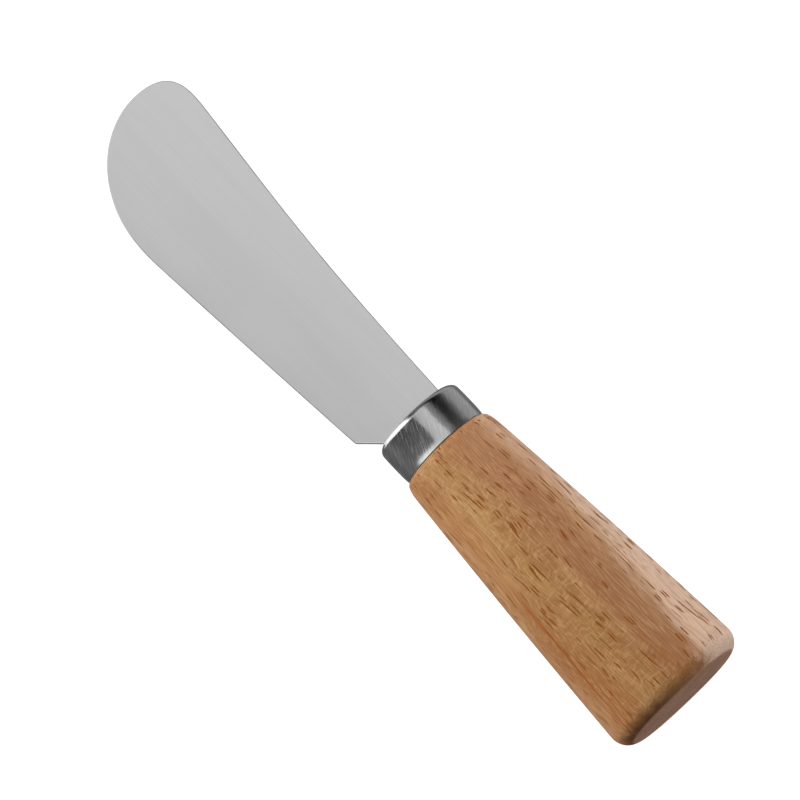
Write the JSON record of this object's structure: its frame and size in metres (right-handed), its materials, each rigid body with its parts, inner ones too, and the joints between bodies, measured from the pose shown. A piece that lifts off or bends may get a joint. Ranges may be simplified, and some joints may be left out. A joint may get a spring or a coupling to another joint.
{
  "type": "palette knife",
  "caption": "Short palette knife: a broad flat steel blade with a round tip, a polished oval ferrule and a flared oval wooden handle.",
  "frame": {"origin": "centre of the flat butt end of the handle, on the handle's centre line", "axes": "+X along the handle's centre line from the butt to the blade's tip, +Y towards the blade's round spreading edge, +Z out of the blade's upper face"},
  "size_m": [0.1349, 0.0261, 0.0162],
  "materials": {
    "blade_steel": "satin",
    "ferrule_steel": "polished",
    "handle_wood": "satin",
    "epoxy": "gloss"
  },
  "bodies": {
    "root": {"blade": "blade_steel", "ferrule": "ferrule_steel", "handle": "handle_wood", "tang_epoxy": "epoxy"}
  },
  "joints": []
}
